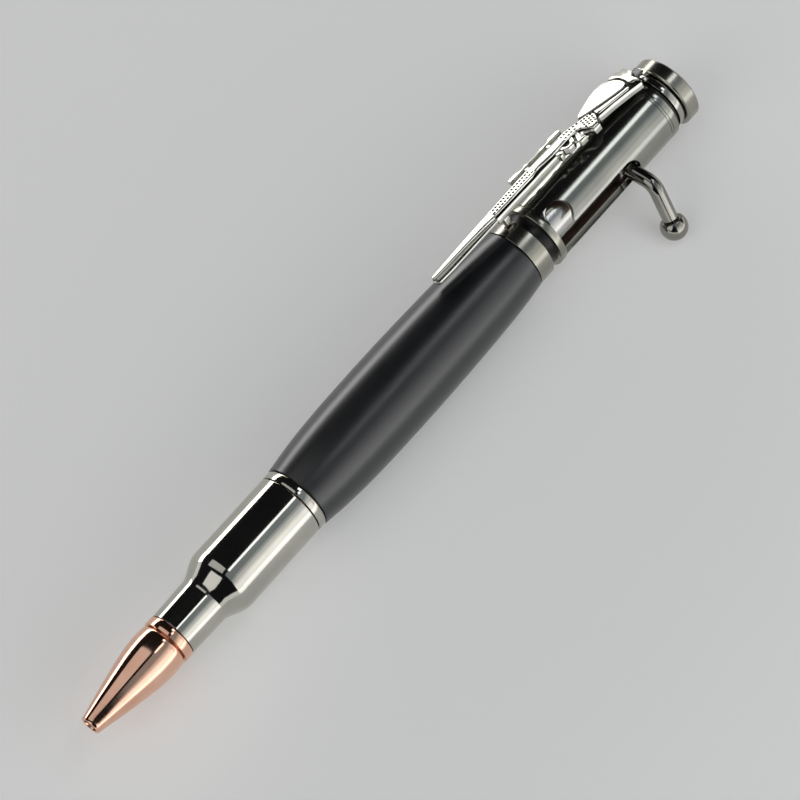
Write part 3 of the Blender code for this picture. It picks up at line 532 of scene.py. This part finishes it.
def makeHandle(h):
    root, out, corner, middle = handleWay()
    down = (middle - corner).normalized()
    turn = out.angle(down)
    setback = h["bendRadius"] * math.tan(turn / 2)
    foot, shoulder = h["shankStart"], plunger["headRadius"] + h["headGap"]
    bendStart = h["legLength"] - setback
    secondLeg = (middle - corner).length - setback - knob["flat"] - h["knobGap"]
    # modelled upright: z runs out along the first leg, the bend turns towards +x
    clearAll()
    bpy.ops.mesh.primitive_circle_add(vertices=h["sides"], radius=h["shankRadius"] * mm, fill_type="NGON",
                                      location=(0, 0, foot * mm))
    piece = fixPlace(bpy.context.object)
    piece.name = piece.data.name = "boltHandle"
    bpy.ops.object.mode_set(mode="EDIT")
    bpy.ops.mesh.select_all(action="SELECT")

    def pull(way):
        bpy.ops.mesh.extrude_region_move(TRANSFORM_OT_translate={"value": way})

    def widen(ratio, centre):
        bpy.ops.transform.resize(value=(ratio, ratio, ratio), center_override=centre)

    pull((0, 0, (shoulder - foot) * mm))
    pull((0, 0, 0))
    widen(h["radius"] / h["shankRadius"], (0, 0, shoulder * mm))
    pull((0, 0, (bendStart - shoulder) * mm))
    # spin counts its angle the other way round
    bpy.ops.mesh.spin(steps=h["bendSteps"], angle=-turn, center=(h["bendRadius"] * mm, 0, bendStart * mm),
                      axis=(0, 1, 0))
    # the second leg leaves along the turned direction
    lead = Vector((math.sin(turn), 0, math.cos(turn)))
    centre = Vector((h["bendRadius"], 0, bendStart))
    place = centre + Vector((-math.cos(turn), 0, math.sin(turn))) * h["bendRadius"]
    pull(lead * secondLeg * mm)
    place += lead * secondLeg
    pull((0, 0, 0))
    widen(h["tenonRadius"] / h["radius"], place * mm)
    pull(lead * h["tenonLength"] * mm)
    closeUp()
    # then stood on the pen, its bend turned towards the knob
    inward = (down - out * down.dot(out)).normalized()
    stand = Matrix((inward, out.cross(inward), out)).transposed().to_4x4()
    piece.matrix_world = Matrix.Translation(root * mm) @ stand
    fixPlace(piece)
    softenEdges(piece, h["edge"], h["edgeAngle"], h["edgeSegments"])
    return piece


def makeKnob(k):
    corner, middle = handleWay()[2:]
    r, flat = k["radius"], k["flat"]
    socket, floor = handle["tenonRadius"] + k["socketGap"], handle["tenonLength"] - flat
    first = math.acos(-flat / r)
    ball = [first * (1 - i / k["arcSteps"]) for i in range(k["arcSteps"] + 1)]
    section = [(floor, 0), (floor, socket), (-flat, socket)]
    section += [(r * math.cos(a), max(r * math.sin(a), 0)) for a in ball]
    piece = turnedPiece("handleKnob", section, k["steps"], k["edge"])
    turn = Vector((1, 0, 0)).rotation_difference((middle - corner).normalized()).to_matrix().to_4x4()
    piece.matrix_world = Matrix.Translation(middle * mm) @ turn
    return fixPlace(piece)


settle(smooth(makePlunger(plunger)), "bolt", "bolt_plunger", "drawnSteel")
settle(smooth(makeHandle(handle)), "bolt", "bolt_handle", "darkGunmetal")
settle(smooth(makeKnob(knob)), "bolt", "handle_knob", "darkGunmetal")
print("stage 3: cap, ring, tube and bolt done")

# coupling: rim, groove whose floor is painted near-black as shade, band, and the part inside the barrel
coupling = {
    "section": [(33.6, 5.45), (33.6, 5.96), (34.9, 5.96), (34.9, 5.15), (36.7, 5.15), (36.7, 5.86),
                (39.8, 5.86), (39.8, 4.45), (46.0, 4.45), (46.0, 3.9), (34.6, 3.9), (34.6, 5.45)],
    "steps": 144, "edge": 0.1, "blackAlong": (34.92, 36.68), "blackRadius": (4.9, 5.7),
}


def inGroove(face):
    middle = face.calc_center_median()
    (start, end), (low, high) = coupling["blackAlong"], coupling["blackRadius"]
    return start * mm < middle.x < end * mm and low * mm < middle.yz.length < high * mm


band = turnedPiece("centreCoupling", coupling["section"], coupling["steps"], coupling["edge"])
dress(smooth(band), "turnedGunmetal")
# painted shade: the groove's floor made near-black
paintFaces(band, "recessPaintedShade", inGroove)
settle(band, "pen", "centre_coupling")

# barrel sleeve: it swells from both ends; the swell's points are shares of length and of height
sleeve = {
    "start": 40.0, "length": 52.0, "bore": 5.25, "endRadius": 5.9, "bellyRadius": 7.01,
    "swell": [(0, 0), (0.06, 0.30), (0.16, 0.60), (0.28, 0.80), (0.40, 0.93), (0.52, 1.0),
              (0.64, 0.985), (0.75, 0.91), (0.84, 0.74), (0.90, 0.54), (0.95, 0.30), (1, 0)],
    "steps": 160, "edge": 0.07,
}


def shapedLine(start, length, low, high, shares):
    # a line given in shares, flowing in millimetres
    return flowThrough([(start + length * a, low + (high - low) * s) for a, s in shares])


def makeSleeve(s):
    outside = shapedLine(s["start"], s["length"], s["endRadius"], s["bellyRadius"], s["swell"])
    section = [(s["start"], s["bore"]), *outside, (s["start"] + s["length"], s["bore"])]
    return turnedPiece("barrelSleeve", section, s["steps"], s["edge"])


settle(smooth(makeSleeve(sleeve)), "pen", "barrel_sleeve", "satinLacquer")

# narrow bright ring between barrel and shell
trimRing = {"section": [(92.2, 4.7), (92.2, 5.82), (93.6, 5.82), (93.6, 4.7)], "steps": 144, "edge": 0.1}
trim = turnedPiece("lowerTrimRing", trimRing["section"], trimRing["steps"], trimRing["edge"])
settle(smooth(trim), "pen", "lower_trim_ring", "paintedLightGunmetal")

# shell: body, shoulder and neck
shell = {
    "start": 93.8, "bodyEnd": 109.4, "shoulderEnd": 113.8, "end": 121.1,
    "bodyRadius": 5.84, "bodyTaper": 0.05, "neckRadius": 4.27, "neckEndRadius": 4.12, "neckEase": 0.01,
    "bore": 3.7, "socketRadius": 4.7, "socketEnd": 99.0, "bendLead": 0.4,
    "shoulder": [(0, 1), (0.17, 0.94), (0.36, 0.78), (0.60, 0.48), (0.82, 0.18), (1, 0)],
    "steps": 160, "edge": 0.08,
}


def makeShell(s):
    shoulder = shapedLine(s["bodyEnd"], s["shoulderEnd"] - s["bodyEnd"], s["neckRadius"], s["bodyRadius"],
                          s["shoulder"])
    section = [(s["start"], s["socketRadius"]), (s["start"], s["bodyRadius"] - s["bodyTaper"]),
               (s["bodyEnd"] - s["bendLead"], s["bodyRadius"]), *shoulder,
               (s["shoulderEnd"] + s["bendLead"], s["neckRadius"] - s["neckEase"]),
               (s["end"], s["neckEndRadius"]), (s["end"], s["bore"]),
               (s["socketEnd"], s["bore"]), (s["socketEnd"], s["socketRadius"])]
    return turnedPiece("cartridgeShell", section, s["steps"], s["edge"])


settle(smooth(makeShell(shell)), "pen", "cartridge_shell", "paintedLightGunmetal")

# copper ring at the neck
noseCollar = {"section": [(121.3, 3.7), (121.3, 4.2), (122.8, 4.2), (122.8, 3.7)], "steps": 128, "edge": 0.08}
collar = turnedPiece("noseCollar", noseCollar["section"], noseCollar["steps"], noseCollar["edge"])
settle(smooth(collar), "pen", "nose_collar", "rosyCopper")

# nose: a copper cone with a spigot behind, a wide bore for the spring and a narrow one for the point
nose = {
    "start": 123.0, "length": 17.0, "radius": 4.2, "tipRadius": 1.66,
    "curve": [(0, 0.86), (0.03, 0.96), (0.12, 1.0), (0.22, 0.98), (0.36, 0.87), (0.55, 0.63),
              (0.77, 0.33), (0.975, 0.03)],
    "spigotLength": 5.5, "spigotRadius": 3.45, "pointBore": 1.25, "pointBoreLength": 7,
    "throat": 2.7, "throatFrom": 7.05, "springBore": 3.15, "springBoreTo": 6.6,  # along from the start
    "steps": 144, "edge": 0.06,
}


def makeNose(n):
    start, tip = n["start"], n["start"] + n["length"]
    outside = shapedLine(start, n["length"], n["tipRadius"], n["radius"], n["curve"])
    section = [(start - n["spigotLength"], n["springBore"]), (start - n["spigotLength"], n["spigotRadius"]),
               (start, n["spigotRadius"]), *outside, (tip, n["tipRadius"]), (tip, n["pointBore"]),
               (tip - n["pointBoreLength"], n["pointBore"]), (tip - n["pointBoreLength"], n["throat"]),
               (start + n["throatFrom"], n["throat"]), (start + n["springBoreTo"], n["springBore"])]
    return turnedPiece("noseCone", section, n["steps"], n["edge"])


settle(smooth(makeNose(nose)), "pen", "nose_cone", "rosyCopper")
print("stage 4: middle and front done")

# clip: a flat rifle in relief, bent over the pen
# (along, across) in millimetres; the scope's side counts up, the trigger's side down
rifle = {
    "base": [(39.5, 0.95), (36.4, 1.0), (29.8, 1.08), (21.6, 1.1), (19.2, 0.8), (17.8, 0.5), (17.3, 0.95),
             (16.2, 1.6), (14.0, 2.3), (12.2, 2.75), (10.5, 2.95), (9.4, 2.75), (8.5, 2.5), (7.4, 2.7),
             (6.5, 2.55), (6.1, 2.0), (5.1, 1.9), (5.1, -0.1), (6.0, -0.75), (6.1, -2.75), (6.5, -3.05),
             (8.4, -2.65), (12.2, -2.05), (15.1, -1.8), (15.6, -1.9), (16.3, -2.75), (16.6, -3.05),
             (17.95, -3.05), (18.45, -2.2), (19.1, -1.5), (20.0, -1.25), (25.0, -1.25),
             (28.6, -1.2), (30.3, -1.3), (39.5, -1.15)],
    "cheek": [(8.62, 2.25), (9.4, 2.7), (10.2, 2.9), (11.2, 2.9), (12.4, 2.7), (13.8, 2.33), (15.2, 1.9),
              (16.3, 1.55), (17.0, 1.22), (17.25, 0.95), (17.1, 0.68), (16.4, 0.42), (15.3, 0.08),
              (14.0, -0.27), (12.4, -0.67), (10.8, -1.05), (9.3, -1.34), (8.45, -1.36), (7.92, -1.05),
              (7.66, -0.55), (7.6, 0.1), (7.75, 0.9), (8.12, 1.65)],
    "buttPlate": [(5.12, 1.85), (6.1, 1.95), (6.45, 2.45), (7.2, 2.66), (7.95, 2.5), (8.28, 2.15),
                  (7.8, 1.55), (7.42, 0.9), (7.27, 0.1), (7.3, -0.6), (7.48, -1.15), (7.35, -1.95),
                  (6.75, -2.05), (6.4, -2.6), (6.15, -2.2), (6.08, -0.7), (5.15, -0.05)],
    "foreEnd": [(39.45, 0.95), (36.4, 0.99), (29.8, 1.08), (21.6, 1.08), (20.2, 0.95), (19.0, 0.75),
                (18.0, 0.45), (17.35, 0.42), (16.8, 0.28), (15.9, -0.05), (15.25, -0.4), (15.35, -1.15),
                (15.75, -1.75), (16.3, -2.45), (16.75, -2.98), (17.9, -2.98), (18.3, -2.05), (18.85, -1.25),
                (19.7, -0.85), (21.6, -0.76), (25.0, -0.88), (28.3, -0.6), (29.1, -0.63), (30.3, -0.92),
                (35.0, -0.86), (38.6, -0.74), (39.2, -0.66)],
    "trigger": [(19.2, -0.4), (20.0, -0.4), (21.1, -2.4), (21.15, -2.8), (20.9, -2.95), (19.7, -2.95),
                (19.55, -2.75), (19.7, -2.62), (20.2, -2.45)],
    "guard": [(20.6, -0.6), (21.3, -1.8), (21.9, -2.15), (22.9, -2.15), (23.6, -1.6), (23.95, -0.6),
              (23.15, -0.6), (22.95, -1.35), (22.6, -1.6), (22.1, -1.55), (21.4, -0.6)],
    "magazine": [(24.05, -0.6), (24.1, -1.7), (24.35, -2.0), (24.9, -2.0), (25.05, -0.6)],
    "stockBand": [(8.5, -1.68), (9.4, -1.63), (10.9, -1.33), (12.5, -0.95), (14.1, -0.55), (14.95, -0.32),
                  (15.05, -1.2), (14.95, -1.52), (13.0, -1.74), (10.5, -2.08), (8.6, -2.38), (8.3, -2.2),
                  (8.28, -1.85)],
    "rib": [(38.6, 0.98), (53.0, 0.98), (53.38, 0.8), (53.48, 0.3), (53.46, -0.25), (53.1, -0.5),
            (50.0, -0.78), (45.0, -0.92), (38.6, -1.05)],
    "bead": [(38.9, 0.98), (45.0, 1.02), (52.9, 1.02), (53.3, 0.9), (53.48, 0.66), (53.3, 0.42), (52.9, 0.34),
             (50.0, 0.06), (45.0, -0.2), (41.0, -0.5), (39.6, -0.68), (38.9, -0.7)],
    # scope: (along, middle, half its width)
    "scope": [(20.35, 2.30, 0.30), (20.5, 2.34, 0.44), (20.9, 2.36, 0.50), (22.5, 2.36, 0.50),
              (22.95, 2.34, 0.42), (23.3, 2.16, 0.24), (24.15, 2.12, 0.22), (24.3, 2.24, 0.42),
              (25.2, 2.24, 0.42), (25.35, 2.08, 0.2), (28.15, 2.04, 0.2), (28.3, 2.2, 0.42),
              (29.2, 2.2, 0.42), (29.35, 2.06, 0.22), (29.9, 2.1, 0.26), (30.3, 2.24, 0.5),
              (30.7, 2.26, 0.54), (32.2, 2.28, 0.54), (32.5, 2.28, 0.46), (32.6, 2.28, 0.32)],
    "ringFeet": [[(a, 0.9), (b, 0.9), (b, 2.2), (a, 2.2)] for a, b in ((23.5, 24.2), (28.75, 29.45))],
    "slide": -0.4, "stretch": 1.094,  # from the outlines here to the pen's own measures
    # (top, floor, rounding, its segments); the base's top is the low ground between the others
    "levels": {
        "base": (-0.36, -1.6, 0.1, 2), "cheek": (0, -0.46, 0.55, 6), "buttPlate": (0, -0.46, 0.18, 3),
        "stockBand": (-0.1, -0.46, 0.14, 3), "trigger": (-0.25, -1.4, 0.12, 3),
        "guard": (-0.25, -1.5, 0.1, 3), "magazine": (-0.3, -1.6, 0.12, 3), "rib": (-0.68, -1.2, 0.1, 3),
        "bead": (-0.08, -0.88, 0.3, 5), "scope": (-0.2, -1.1, 0.22, 4), "foreEnd": (0, -0.46, 0.16, 3),
        "ringFeet": (-0.36, -1.06, 0.06, 2),
    },
    "panelAngle": 40, "frontOn": 0.9,  # how squarely a face points up or down to be ground or back
    # chequering: pits as (along, across), every pit as wide
    "pitRadius": 0.27, "pitDepth": 0.27, "pitTip": 0.02,
    "pits": [(29.9 + 0.66 * k, 0.5 - 0.005 * k) for k in range(15)]
    + [(29.6 + 0.66 * k, -0.2) for k in range(15)]
    + [(18.35, 0.12), (19.05, 0.28), (19.75, 0.42), (20.4, 0.48), (21.05, 0.5), (21.75, 0.5),
       (19.4, -0.35), (20.1, -0.25), (20.8, -0.28), (21.5, -0.28)]
    + [(15.75 + 0.6 * i + 0.2 * j, -0.5 - 0.54 * j + 0.13 * i) for j in range(4) for i in range(4)],
    # the bend: (along, height of the relief's zero level over the pen's axis)
    "faceHeight": [(4.7, 8.28), (14.38, 9.11), (24.06, 9.48), (39.06, 9.02), (53.1, 8.28)],
    "ease": 2.4, "cutFrom": 5.1, "cutStep": 1.1, "cuts": 43,
    "cageStart": 4.5, "cageLength": 49.5, "cageTall": 12.0, "cageColumns": 21,
    "angle": 122, "smoothAngle": 28, "blockSegments": 4,
    # blocks under the clip: (along, across, level, height, rounding, finish)
    "blocks": {
        # the foot takes the clip back's painted shade
        "foot": ((3.4, 6.3), (-1.0, 1.0), 6.85, 0.4, 0.12, "clipBackPaintedShade"),  # over the ring's tab
        "lug": ((4.22, 4.87), (0.8, 2.25), 6.25, 0.75, 0.2, "castGunmetal"),  # beside the foot
        "nub": ((36.8, 38.2), (-0.45, 1.15), 6.11, 2.0, 0.3, "castGunmetal"),  # over the coupling's band
    },
}


def flat(points, z):
    return [(x + rifle["slide"], -across * rifle["stretch"], z) for x, across in points]


def rifleFace(x):
    for (a, low), (b, high) in zip(rifle["faceHeight"], rifle["faceHeight"][1:]):
        if x <= b:
            break
    return low + (high - low) * min((x - a) / (b - a), 1)


def raisedPanel(name, outline, top, floor, edge, segments):
    piece = plateFrom(name, flat(outline, top), (0, 0, floor - top))
    softenEdges(piece, edge, rifle["panelAngle"], segments)
    return dress(piece, "castGunmetal")


def chequer(panel, places):
    # a cone at each place, all taken out of the panel together
    cones = []
    for place in flat(places, 0):
        clearAll()
        bpy.ops.mesh.primitive_cone_add(
            vertices=8, radius1=rifle["pitTip"] * mm, radius2=rifle["pitRadius"] * 2 * mm,
            depth=rifle["pitDepth"] * 2 * mm, location=Vector(place) * mm)
        cones.append(bpy.context.object)
    # the pits' faces take this finish from the cutters: painted shade in the pits
    dress(cones[0], "recessPaintedShade")
    return cutWith(panel, [joined("pits", cones)])


def bendOver(clip, r):
    # cut across every so often, so that it can bend, then lifted to its height by a lattice
    pickPiece(clip)
    bpy.ops.object.mode_set(mode="EDIT")
    for k in range(1, r["cuts"] + 1):
        bpy.ops.mesh.select_all(action="SELECT")
        bpy.ops.mesh.bisect(plane_co=((r["cutFrom"] + r["cutStep"] * k) * mm, 0, 0), plane_no=(1, 0, 0))
    bpy.ops.object.mode_set(mode="OBJECT")
    bend = bpy.data.lattices.new("clipBend")
    bend.points_u, bend.points_v, bend.points_w = r["cageColumns"], 2, 2
    bend.interpolation_type_u = "KEY_CATMULL_ROM"
    cage = bpy.data.objects.new("clipBend", bend)
    bpy.context.scene.collection.objects.link(cage)
    start, length, tall = r["cageStart"], r["cageLength"], r["cageTall"]
    cage.location = ((start + length / 2) * mm, 0, 0)
    cage.scale = (length * mm, tall * mm, tall * mm)
    for point in bend.points:
        x = start + length * (point.co.x + 0.5)
        lift = (rifleFace(x - r["ease"]) + rifleFace(x) + rifleFace(x + r["ease"])) / 3
        point.co_deform.z = point.co.z + lift / tall
    step = clip.modifiers.new("bend", "LATTICE")
    step.object = cage
    bpy.context.view_layer.update()
    applyAll(clip)
    bpy.data.objects.remove(cage)


def makeRifle(r):
    scope = [(x, middle + half) for x, middle, half in r["scope"]]
    scope += [(x, middle - half) for x, middle, half in reversed(r["scope"])]
    outlines = {name: [r[name]] for name in r["levels"]}
    outlines["scope"], outlines["ringFeet"] = [scope], r["ringFeet"]
    parts = []
    for name, levels in r["levels"].items():
        for outline in outlines[name]:
            parts.append(raisedPanel(name, outline, *levels))
        if name == "foreEnd":
            chequer(parts[-1], r["pits"])
    # painted shade: the low ground between the raised parts is made black, and the back dark, so the tube
    # darkens under the clip
    paintFaces(parts[0], "recessPaintedShade", lambda face: face.normal.z > r["frontOn"])
    clip = joined("rifleClip", parts)
    paintFaces(clip, "clipBackPaintedShade", lambda face: face.normal.z < -r["frontOn"])
    bendOver(clip, r)
    swing(clip, r["angle"] - 90)
    blocks = []
    for name, (along, across, level, tall, edge, finish) in r["blocks"].items():
        block = blockFrom(name, along, across, level, tall)
        softenEdges(block, edge, r["panelAngle"], r["blockSegments"])
        blocks.append(dress(swing(block, r["angle"] - 90), finish))
    return joined("rifleClip", [clip, *blocks])


settle(smooth(makeRifle(rifle), rifle["smoothAngle"], False), "clip", "rifle_clip")
print("stage 5: clip done")

# floor: level under the pen as it lies, so a little tilted to the pen's axis
paleFloor = {
    "size": 5, "tilt": 0.0135, "tipAt": 0.1399, "heightAtTip": -8.129, "colour": (0.84, 0.84, 0.83),
    "rough": 0.6, "specular": 0.3,
    "glow": (0.2, 1.1, 0.22, 0.62),  # from and to, in metres from the pen's tip, and the glow at both
}


def makeFloor(f):
    clearAll()
    bpy.ops.mesh.primitive_plane_add(size=f["size"])
    floor = bpy.context.object
    floor.name = "floor"
    floor.location = (f["tipAt"], 0, f["heightAtTip"] * mm)
    floor.rotation_euler = (0, f["tilt"], 0)
    paint = bpy.data.materials.new("paleFloor")
    paint.use_nodes = True
    tree = paint.node_tree
    # the floor looks a little paler than the lamps make it, to the camera and in the metal,
    # and more so further off, where less of the lamps reaches it
    path = tree.nodes.new("ShaderNodeLightPath")
    seen = sumUp(tree, "MAXIMUM", path.outputs["Is Camera Ray"], path.outputs["Is Glossy Ray"])
    away = lengthOf(tree, tree.nodes.new("ShaderNodeTexCoord").outputs["Object"])
    for socket, value in {
        "Roughness": f["rough"], "Specular IOR Level": f["specular"],
        "Base Color": (*f["colour"], 1), "Emission Color": (*f["colour"], 1),
        "Emission Strength": sumUp(tree, "MULTIPLY", seen, spreadOut(tree, away, f["glow"])),
    }.items():
        feed(tree, tree.nodes["Principled BSDF"].inputs[socket], value)
    floor.data.materials.append(paint)
    return floor


makeFloor(paleFloor)

# lamps: (distance from the pen's middle, x share, angle round the pen, width across, length along,
#         watts, tint)
lamps = {
    "dimCard": (0.62, -0.30, 61, 0.40, 0.80, 0.32, (0.84, 0.94, 1)),
    "rearStrip": (0.60, -0.475, 84.3, 0.108, 0.13, 0.13, (0.92, 0.955, 1)),
    "frontStrip": (0.60, -0.19, 77.6, 0.07, 0.15, 0.068, (0.94, 0.965, 1)),
    "leftCard": (0.60, -0.36, 174, 0.17, 0.80, 1.6, (1, 0.99, 0.965)),
    "noseCard": (0.73, 0.137, 113, 0.70, 0.28, 0.40, (1, 1, 1)),
    "frontFill": (0.80, 0.75, 100, 0.60, 0.60, 1.2, (1, 1, 1)),
}
# lamps with a soft edge: cards of shrinking width, each a little in front of the last one
# (distance, x share, angle round the pen, length along, brightness, half widths in degrees)
softLamps = {
    "sideBox": (0.60, -0.30, 21, 0.80, 0.215, (33, 27, 21.5, 16, 10)),
    "tipGlow": (0.57, -0.02, 22, 0.37, 0.16, (24, 18, 11)),
}
penMiddle, cardGap = 0.07, 0.004  # metres


def addLamp(name, distance, along, angle, wide, long, power, tint=(1, 1, 1)):
    a, aside = math.radians(angle), math.sqrt(1 - along ** 2)
    toward = Vector((along, aside * math.cos(a), aside * math.sin(a)))
    clearAll()
    bpy.ops.object.light_add(type="AREA", location=Vector((penMiddle, 0, 0)) + toward * distance)
    lamp = bpy.context.object
    lamp.name = name
    lamp.data.shape = "RECTANGLE"
    lamp.data.size, lamp.data.size_y = long, wide
    lamp.data.energy, lamp.data.color = power, tint
    lamp.visible_camera = False
    # the long side lies along the pen
    side = Vector((1, 0, 0)) - toward * toward.x
    side.normalize()
    lamp.rotation_euler = Matrix((side, toward.cross(side), toward)).transposed().to_euler()


for name, numbers in lamps.items():
    addLamp(name, *numbers)
for name, (furthest, along, angle, long, bright, halfWidths) in softLamps.items():
    for k, halfWidth in enumerate(halfWidths):
        distance = furthest - cardGap * k
        wide = 2 * distance * math.tan(math.radians(halfWidth))
        addLamp(name + str(k), distance, along, angle, wide, long, bright * math.pi * wide * long)

# the room behind the lamps: pale low down, dark above
room = {"horizon": (0.98, 0.99, 1.0), "ceiling": (0.010, 0.0105, 0.0115), "fade": (0.20, 0.25)}
world = bpy.data.worlds.new("studio")
bpy.context.scene.world = world
world.use_nodes = True
tree = world.node_tree
toward = tree.nodes.new("ShaderNodeTexCoord").outputs["Generated"]
height = addNode(tree, "ShaderNodeSeparateXYZ", Vector=toward).outputs["Z"]
fade = fadeBetween(tree, height, room["fade"], (room["horizon"], room["ceiling"]))
fade.color_ramp.interpolation = "EASE"
tree.links.new(fade.outputs["Color"], tree.nodes["Background"].inputs["Color"])

# the photograph's own view
view = {
    "place": (0.26821, 0.18525, 0.59141), "forward": (-0.3045, -0.2846, -0.9090),
    "right": (-0.6395, 0.7684, -0.0264), "lens": 189.5, "sensor": 36, "shift": (0.0132, -0.00458),
    "nearest": 0.01,
}
clearAll()
bpy.ops.object.camera_add()
camera = bpy.context.object
forward, right = Vector(view["forward"]), Vector(view["right"])
camera.matrix_world = Matrix.Translation(view["place"]) @ Matrix(
    (right, right.cross(forward), -forward)).transposed().to_4x4()
camera.data.lens, camera.data.sensor_width = view["lens"], view["sensor"]
camera.data.shift_x, camera.data.shift_y = view["shift"]
camera.data.clip_start = view["nearest"]
bpy.context.scene.camera = camera
bpy.context.scene.view_settings.view_transform = "Standard"

print("stage 6: floor, lamps and camera placed")
